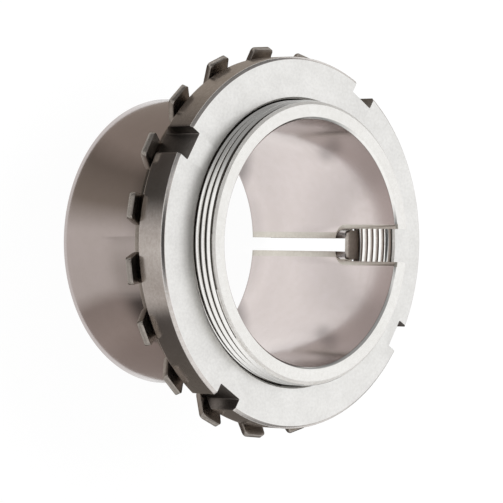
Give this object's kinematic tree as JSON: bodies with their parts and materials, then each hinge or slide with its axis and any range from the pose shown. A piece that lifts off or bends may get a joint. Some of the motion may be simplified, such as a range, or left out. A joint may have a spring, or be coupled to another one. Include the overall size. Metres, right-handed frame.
{
  "type": "bearing adapter sleeve",
  "caption": "Split taper adapter sleeve for fixing a tapered-bore bearing to a plain shaft, with its slotted lock nut and tabbed lock washer.",
  "frame": {"origin": "on the sleeve's axis, in the plane of its large end face, on which it stands", "axes": "+Z along the axis from the large end to the threaded nose with the nut; +X through the slit, the keyway and the washer's inner tab"},
  "size_m": [0.1037, 0.104, 0.055],
  "materials": {
    "ground_steel": "turned and ground, bare",
    "washer_steel": "stamped sheet, darker, bare",
    "nut_steel": "pale matt phosphated face, turned rim"
  },
  "bodies": {
    "sleeve": {"sleeve": "ground_steel"},
    "washer": {"lock_washer": "washer_steel"},
    "nut": {"lock_nut": "nut_steel"}
  },
  "joints": [
    {"name": "washer_slide", "type": "slide", "parent": "sleeve", "child": "washer", "axis": [0, 0, 1], "range_m": [-0.0002, 0.016]},
    {"name": "nut_turn", "type": "hinge", "parent": "washer", "child": "nut", "pos_m": [0, 0, 0.0424], "axis": [0, 0, 1], "range_deg": [-36, 2880]}
  ],
  "couplings": [
    {"joint": "washer_slide", "follows": "nut_turn", "m_per_rad": 0.00031831}
  ]
}
